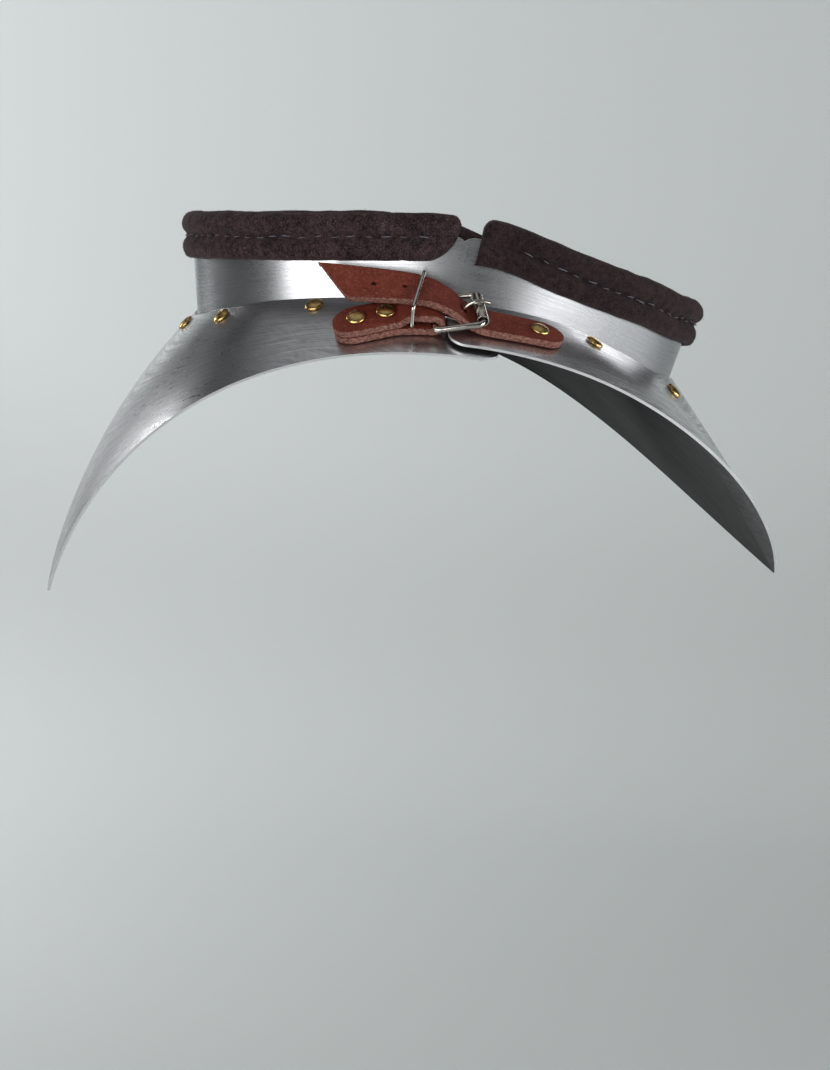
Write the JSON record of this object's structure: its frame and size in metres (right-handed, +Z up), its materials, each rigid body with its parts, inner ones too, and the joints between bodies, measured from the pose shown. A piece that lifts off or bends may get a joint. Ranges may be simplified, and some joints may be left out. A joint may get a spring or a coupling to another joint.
{
  "type": "steel gorget",
  "caption": "Worn steel collar with pointed shoulder plates in a back and a front half, padded with felt at the neck and joined at both sides by riveted leather straps with roller buckles",
  "frame": {"origin": "middle of the neck hole at the foot of the collar, where the wearer's neck sits", "axes": "+Z up the neck, -Y the wearer's front, +X the wearer's left; the part is symmetric across X"},
  "size_m": [0.2198, 0.3173, 0.1582],
  "materials": {
    "steel": "fine brushed sheet steel, satin shine",
    "felt": "dark chocolate wool felt, soft and padded, stitched with grey thread",
    "leather": "reddish brown strap leather with raw pinkish edges",
    "brass": "domed brass, lightly aged",
    "nickel": "nickel-plated wire, bright and slightly warm"
  },
  "bodies": {
    "root": {"back_collar": "steel", "back_plate": "steel", "back_pad": "felt", "front_collar": "steel", "front_plate": "steel", "front_pad": "felt", "back_rivet_1": "brass", "back_rivet_2": "brass", "back_rivet_3": "brass", "back_rivet_4": "brass", "back_rivet_5": "brass", "front_rivet_1": "brass", "front_rivet_2": "brass", "front_rivet_3": "brass", "front_rivet_4": "brass", "left_chape": "leather", "left_strap": "leather", "left_chape_rivet_1": "brass", "left_chape_rivet_2": "brass", "left_strap_rivet": "brass", "left_buckle_frame": "nickel", "left_buckle_roller": "nickel", "left_buckle_prong": "nickel", "left_keeper": "nickel", "right_chape": "leather", "right_strap": "leather", "right_chape_rivet_1": "brass", "right_chape_rivet_2": "brass", "right_strap_rivet": "brass", "right_buckle_frame": "nickel", "right_buckle_roller": "nickel", "right_buckle_prong": "nickel", "right_keeper": "nickel"}
  },
  "joints": []
}
